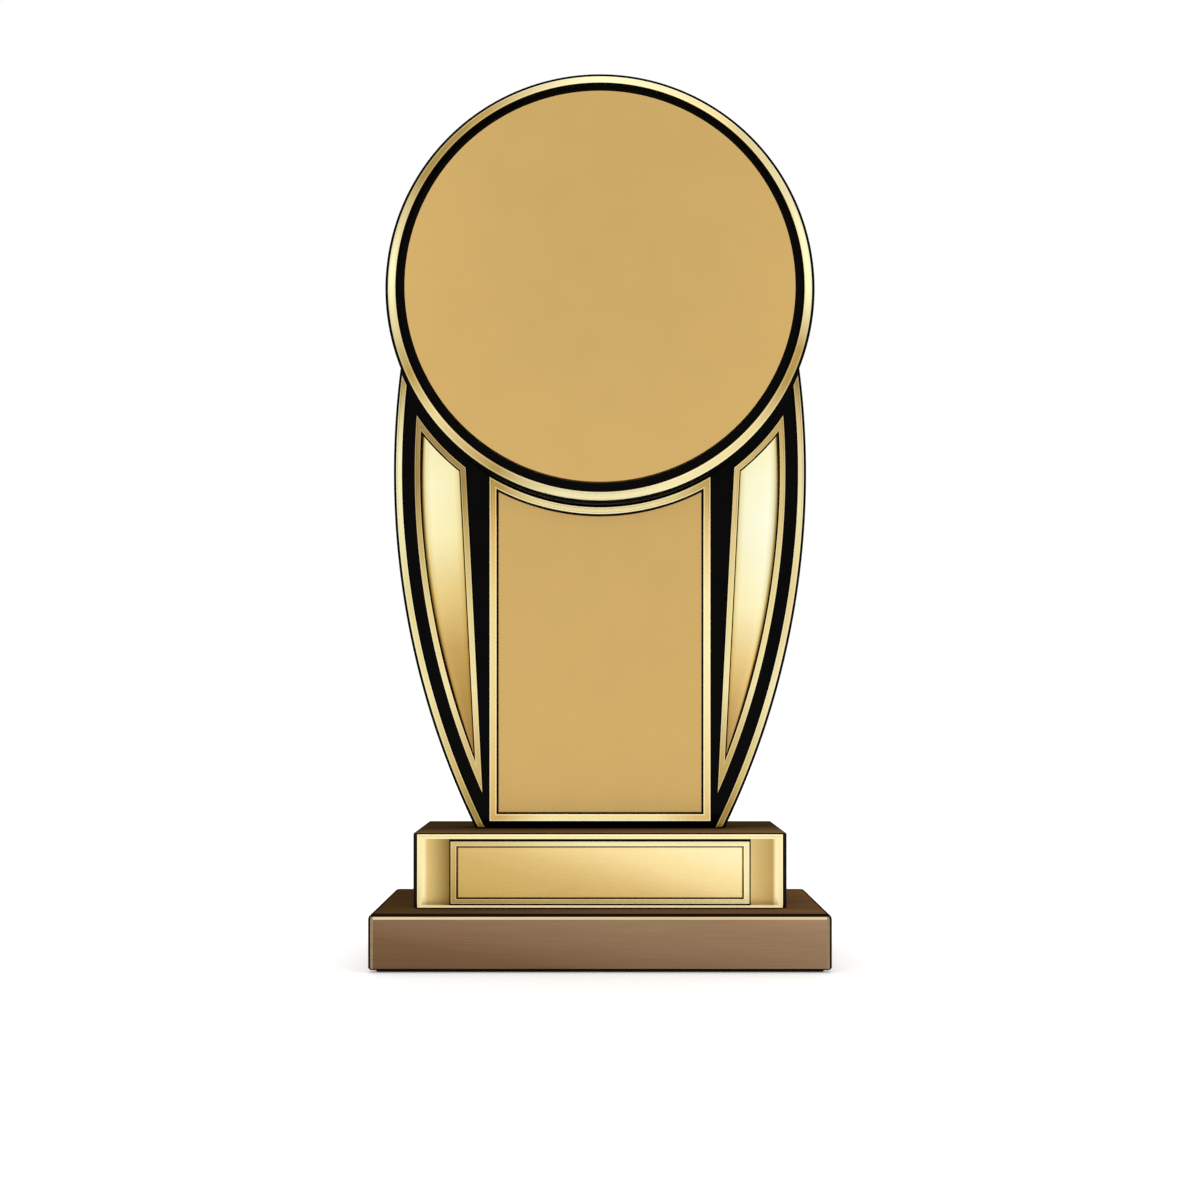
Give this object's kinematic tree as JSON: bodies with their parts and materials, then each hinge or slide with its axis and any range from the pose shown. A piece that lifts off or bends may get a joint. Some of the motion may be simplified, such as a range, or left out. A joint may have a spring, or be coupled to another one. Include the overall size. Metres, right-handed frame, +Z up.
{
  "type": "trophy",
  "caption": "Presentation trophy: a blank round medallion on a tapered black upright with gilt panels, on a stepped wooden plinth with a blank nameplate.",
  "frame": {"origin": "middle of the footprint, on the surface that the trophy stands on", "axes": "+Z up, -Y towards the front with the medallion and nameplate, +X to the right as seen from the front"},
  "size_m": [0.15, 0.078, 0.3],
  "materials": {
    "stained_wood": "satin stained timber with a fine grain",
    "black_lacquer": "gloss black lacquer over a wood board",
    "gilt_bright": "bright gilt metal, polished",
    "gilt_satin": "satin gilt metal",
    "base_felt": "pressed wool felt",
    "zinc_steel": "zinc-plated steel",
    "raw_brass": "turned brass"
  },
  "bodies": {
    "root": {"base_felt": "base_felt", "base_lower": "stained_wood", "base_upper": "stained_wood", "base_screws": "zinc_steel", "fascia": "gilt_bright", "nameplate_frame": "gilt_bright", "nameplate": "gilt_satin", "body_board": "black_lacquer", "body_bolts": "zinc_steel", "body_washers": "zinc_steel", "body_inserts": "raw_brass", "edge_trim_left": "gilt_bright", "edge_trim_right": "gilt_bright", "side_frame_left": "gilt_bright", "side_frame_right": "gilt_bright", "side_panel_left": "gilt_bright", "side_panel_right": "gilt_bright", "centre_frame": "gilt_bright", "centre_plate": "gilt_satin", "disc_board": "black_lacquer", "disc_ring": "gilt_bright", "medallion": "gilt_satin", "medallion_washers": "zinc_steel", "medallion_nuts": "zinc_steel"}
  },
  "joints": []
}
